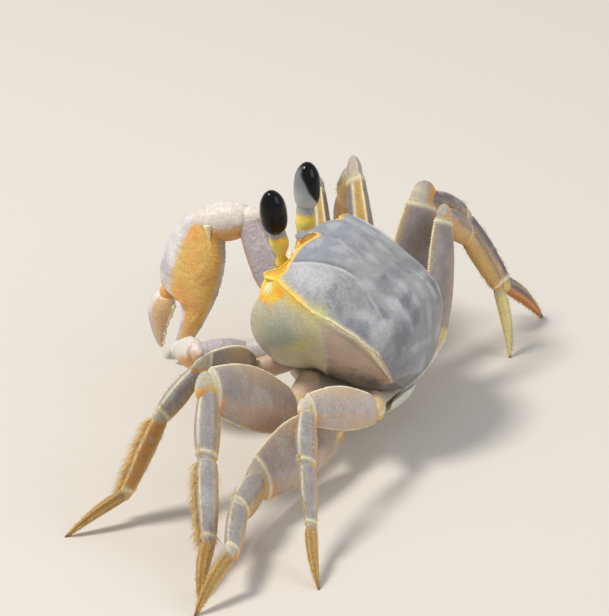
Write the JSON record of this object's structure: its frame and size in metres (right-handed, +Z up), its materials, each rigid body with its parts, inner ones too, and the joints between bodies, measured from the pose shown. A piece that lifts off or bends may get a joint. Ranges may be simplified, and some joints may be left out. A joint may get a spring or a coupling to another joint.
{
  "type": "Atlantic ghost crab, still model",
  "caption": "Life-size still ghost crab (Ocypode quadrata) on eight walking legs: domed carapace tipped nose up, stalked eyes upright, larger right claw held forward and down.",
  "frame": {"origin": "middle of the bounding box, on the floor under the crab", "axes": "+X to the crab's right, +Y the way it heads, +Z up"},
  "size_m": [0.1604, 0.09, 0.0588],
  "materials": {
    "shell": "satin",
    "leg": "satin",
    "joint": "satin",
    "claw": "satin",
    "pale": "satin",
    "stalk": "semi_gloss",
    "eye": "gloss"
  },
  "bodies": {
    "root": {"carapace": "shell", "breast_plate": "pale", "abdomen": "pale", "left_mouth_plate": "pale", "right_mouth_plate": "pale", "left_eye_stalk": "stalk", "left_cornea": "eye", "left_claw_base": "joint", "left_claw_merus": "joint", "left_claw_carpus": "claw", "left_claw_palm": "claw", "left_claw_finger": "claw", "left_leg_1_base": "joint", "left_leg_1_merus": "leg", "left_leg_1_carpus": "leg", "left_leg_1_propodus": "leg", "left_leg_1_dactyl": "joint", "left_leg_2_base": "joint", "left_leg_2_merus": "leg", "left_leg_2_carpus": "leg", "left_leg_2_propodus": "leg", "left_leg_2_dactyl": "joint", "left_leg_3_base": "joint", "left_leg_3_merus": "leg", "left_leg_3_carpus": "leg", "left_leg_3_propodus": "leg", "left_leg_3_dactyl": "joint", "left_leg_4_base": "joint", "left_leg_4_merus": "leg", "left_leg_4_carpus": "leg", "left_leg_4_propodus": "leg", "left_leg_4_dactyl": "joint", "right_eye_stalk": "stalk", "right_cornea": "eye", "right_claw_base": "joint", "right_claw_merus": "joint", "right_claw_carpus": "claw", "right_claw_palm": "claw", "right_claw_finger": "claw", "right_leg_1_base": "joint", "right_leg_1_merus": "leg", "right_leg_1_carpus": "leg", "right_leg_1_propodus": "leg", "right_leg_1_dactyl": "joint", "right_leg_2_base": "joint", "right_leg_2_merus": "leg", "right_leg_2_carpus": "leg", "right_leg_2_propodus": "leg", "right_leg_2_dactyl": "joint", "right_leg_3_base": "joint", "right_leg_3_merus": "leg", "right_leg_3_carpus": "leg", "right_leg_3_propodus": "leg", "right_leg_3_dactyl": "joint", "right_leg_4_base": "joint", "right_leg_4_merus": "leg", "right_leg_4_carpus": "leg", "right_leg_4_propodus": "leg", "right_leg_4_dactyl": "joint"}
  },
  "joints": []
}
